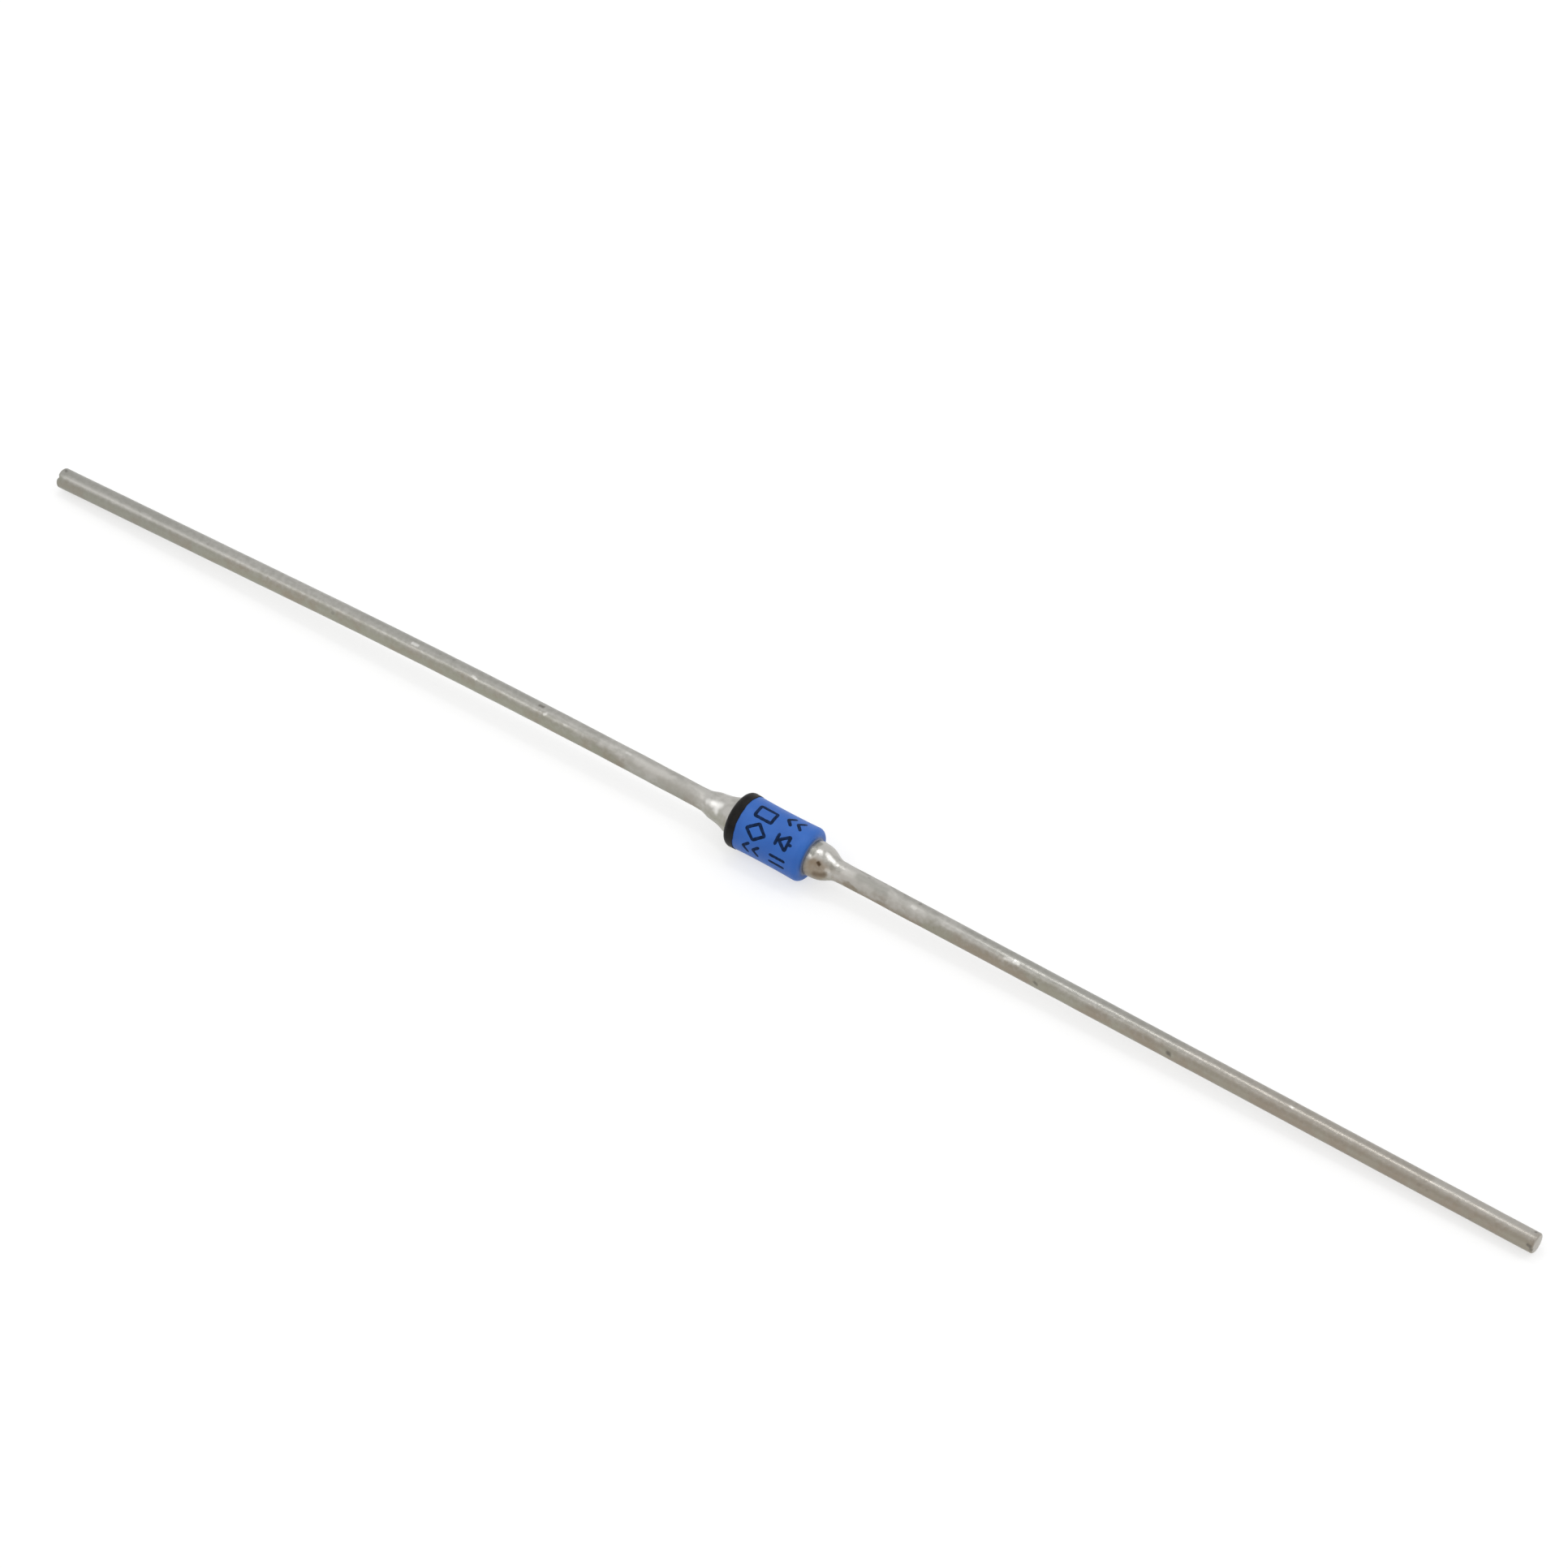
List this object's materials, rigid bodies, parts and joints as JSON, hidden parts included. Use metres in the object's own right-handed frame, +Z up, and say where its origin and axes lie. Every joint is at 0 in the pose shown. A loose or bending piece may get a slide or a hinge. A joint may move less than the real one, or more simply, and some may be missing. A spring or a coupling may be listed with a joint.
{
  "type": "axial rectifier diode",
  "caption": "Small axial rectifier diode: blue enamelled cylindrical body with a black cathode band, solder beads and two long tinned wire leads.",
  "frame": {"origin": "on the surface the diode lies on, under the middle of its body (within 0.35 mm of the middle of its box)", "axes": "+X along the diode towards the anode wire, the banded cathode end on the -X side; +Z up from the surface it lies on"},
  "size_m": [0.0624, 0.0022, 0.0021],
  "materials": {
    "tinned_wire": "satin, solder dipped",
    "solder": "smooth set solder",
    "blue_enamel": "satin gloss baked enamel",
    "band_ink": "satin black paint",
    "sealing_glass": "fused",
    "pin_metal": "ground",
    "bond_metal": "fused film",
    "silicon": "polished and etched"
  },
  "bodies": {
    "root": {"anode_lead": "tinned_wire", "cathode_lead": "tinned_wire", "anode_solder_bead": "solder", "cathode_solder_bead": "solder", "blue_enamel_coat": "blue_enamel", "cathode_band": "band_ink", "glass_sleeve": "sealing_glass", "anode_pin": "pin_metal", "cathode_pin": "pin_metal", "anode_die_bond": "bond_metal", "cathode_die_bond": "bond_metal", "silicon_die": "silicon"}
  },
  "joints": []
}
